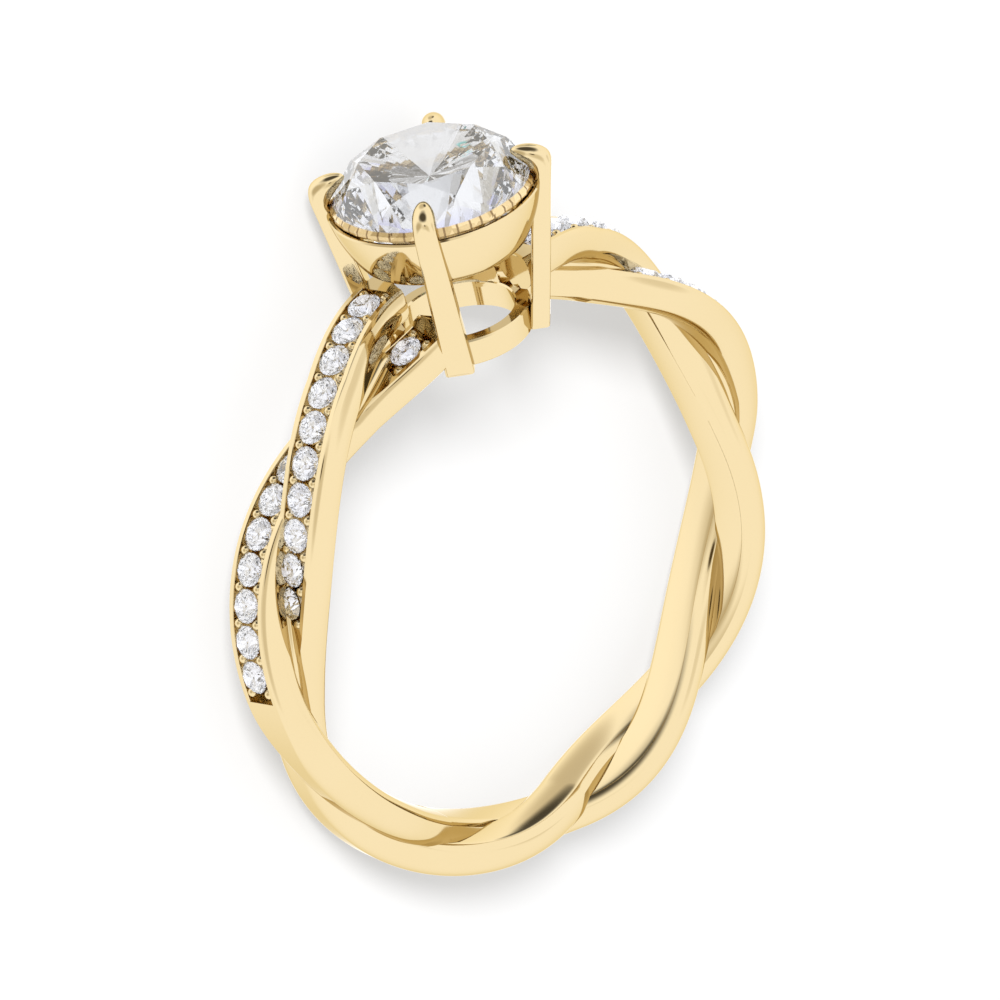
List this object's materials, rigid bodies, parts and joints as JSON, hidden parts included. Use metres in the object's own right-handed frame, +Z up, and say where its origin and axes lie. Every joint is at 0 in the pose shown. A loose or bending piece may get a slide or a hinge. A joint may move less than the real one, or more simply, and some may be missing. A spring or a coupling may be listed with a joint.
{
  "type": "twisted shank ring",
  "caption": "Finger ring with a twisted shank, accent stones along its shoulders and a round stone held by prongs over an open basket.",
  "frame": {"origin": "centre of the bounding box's bottom face, on the floor that the ring lies on", "axes": "+Z up, nearly along the finger (the ring lies on its side); -Y towards the head and main stone; +X towards the left shoulder"},
  "size_m": [0.022, 0.0254, 0.0068],
  "materials": {
    "gold": "polished",
    "main_stone": "faceted",
    "accent_stone": "faceted"
  },
  "bodies": {
    "root": {"metal": "gold", "main_stone": "main_stone", "accent_01": "accent_stone", "accent_02": "accent_stone", "accent_03": "accent_stone", "accent_04": "accent_stone", "accent_05": "accent_stone", "accent_06": "accent_stone", "accent_07": "accent_stone", "accent_08": "accent_stone", "accent_09": "accent_stone", "accent_10": "accent_stone", "accent_11": "accent_stone", "accent_12": "accent_stone", "accent_13": "accent_stone", "accent_14": "accent_stone", "accent_15": "accent_stone", "accent_16": "accent_stone", "accent_17": "accent_stone", "accent_18": "accent_stone", "accent_19": "accent_stone", "accent_20": "accent_stone", "accent_21": "accent_stone", "accent_22": "accent_stone", "accent_23": "accent_stone", "accent_24": "accent_stone", "accent_25": "accent_stone", "accent_26": "accent_stone", "accent_27": "accent_stone", "accent_28": "accent_stone", "accent_29": "accent_stone", "accent_30": "accent_stone", "accent_31": "accent_stone", "accent_32": "accent_stone", "accent_33": "accent_stone", "accent_34": "accent_stone", "accent_35": "accent_stone", "accent_36": "accent_stone"}
  },
  "joints": []
}
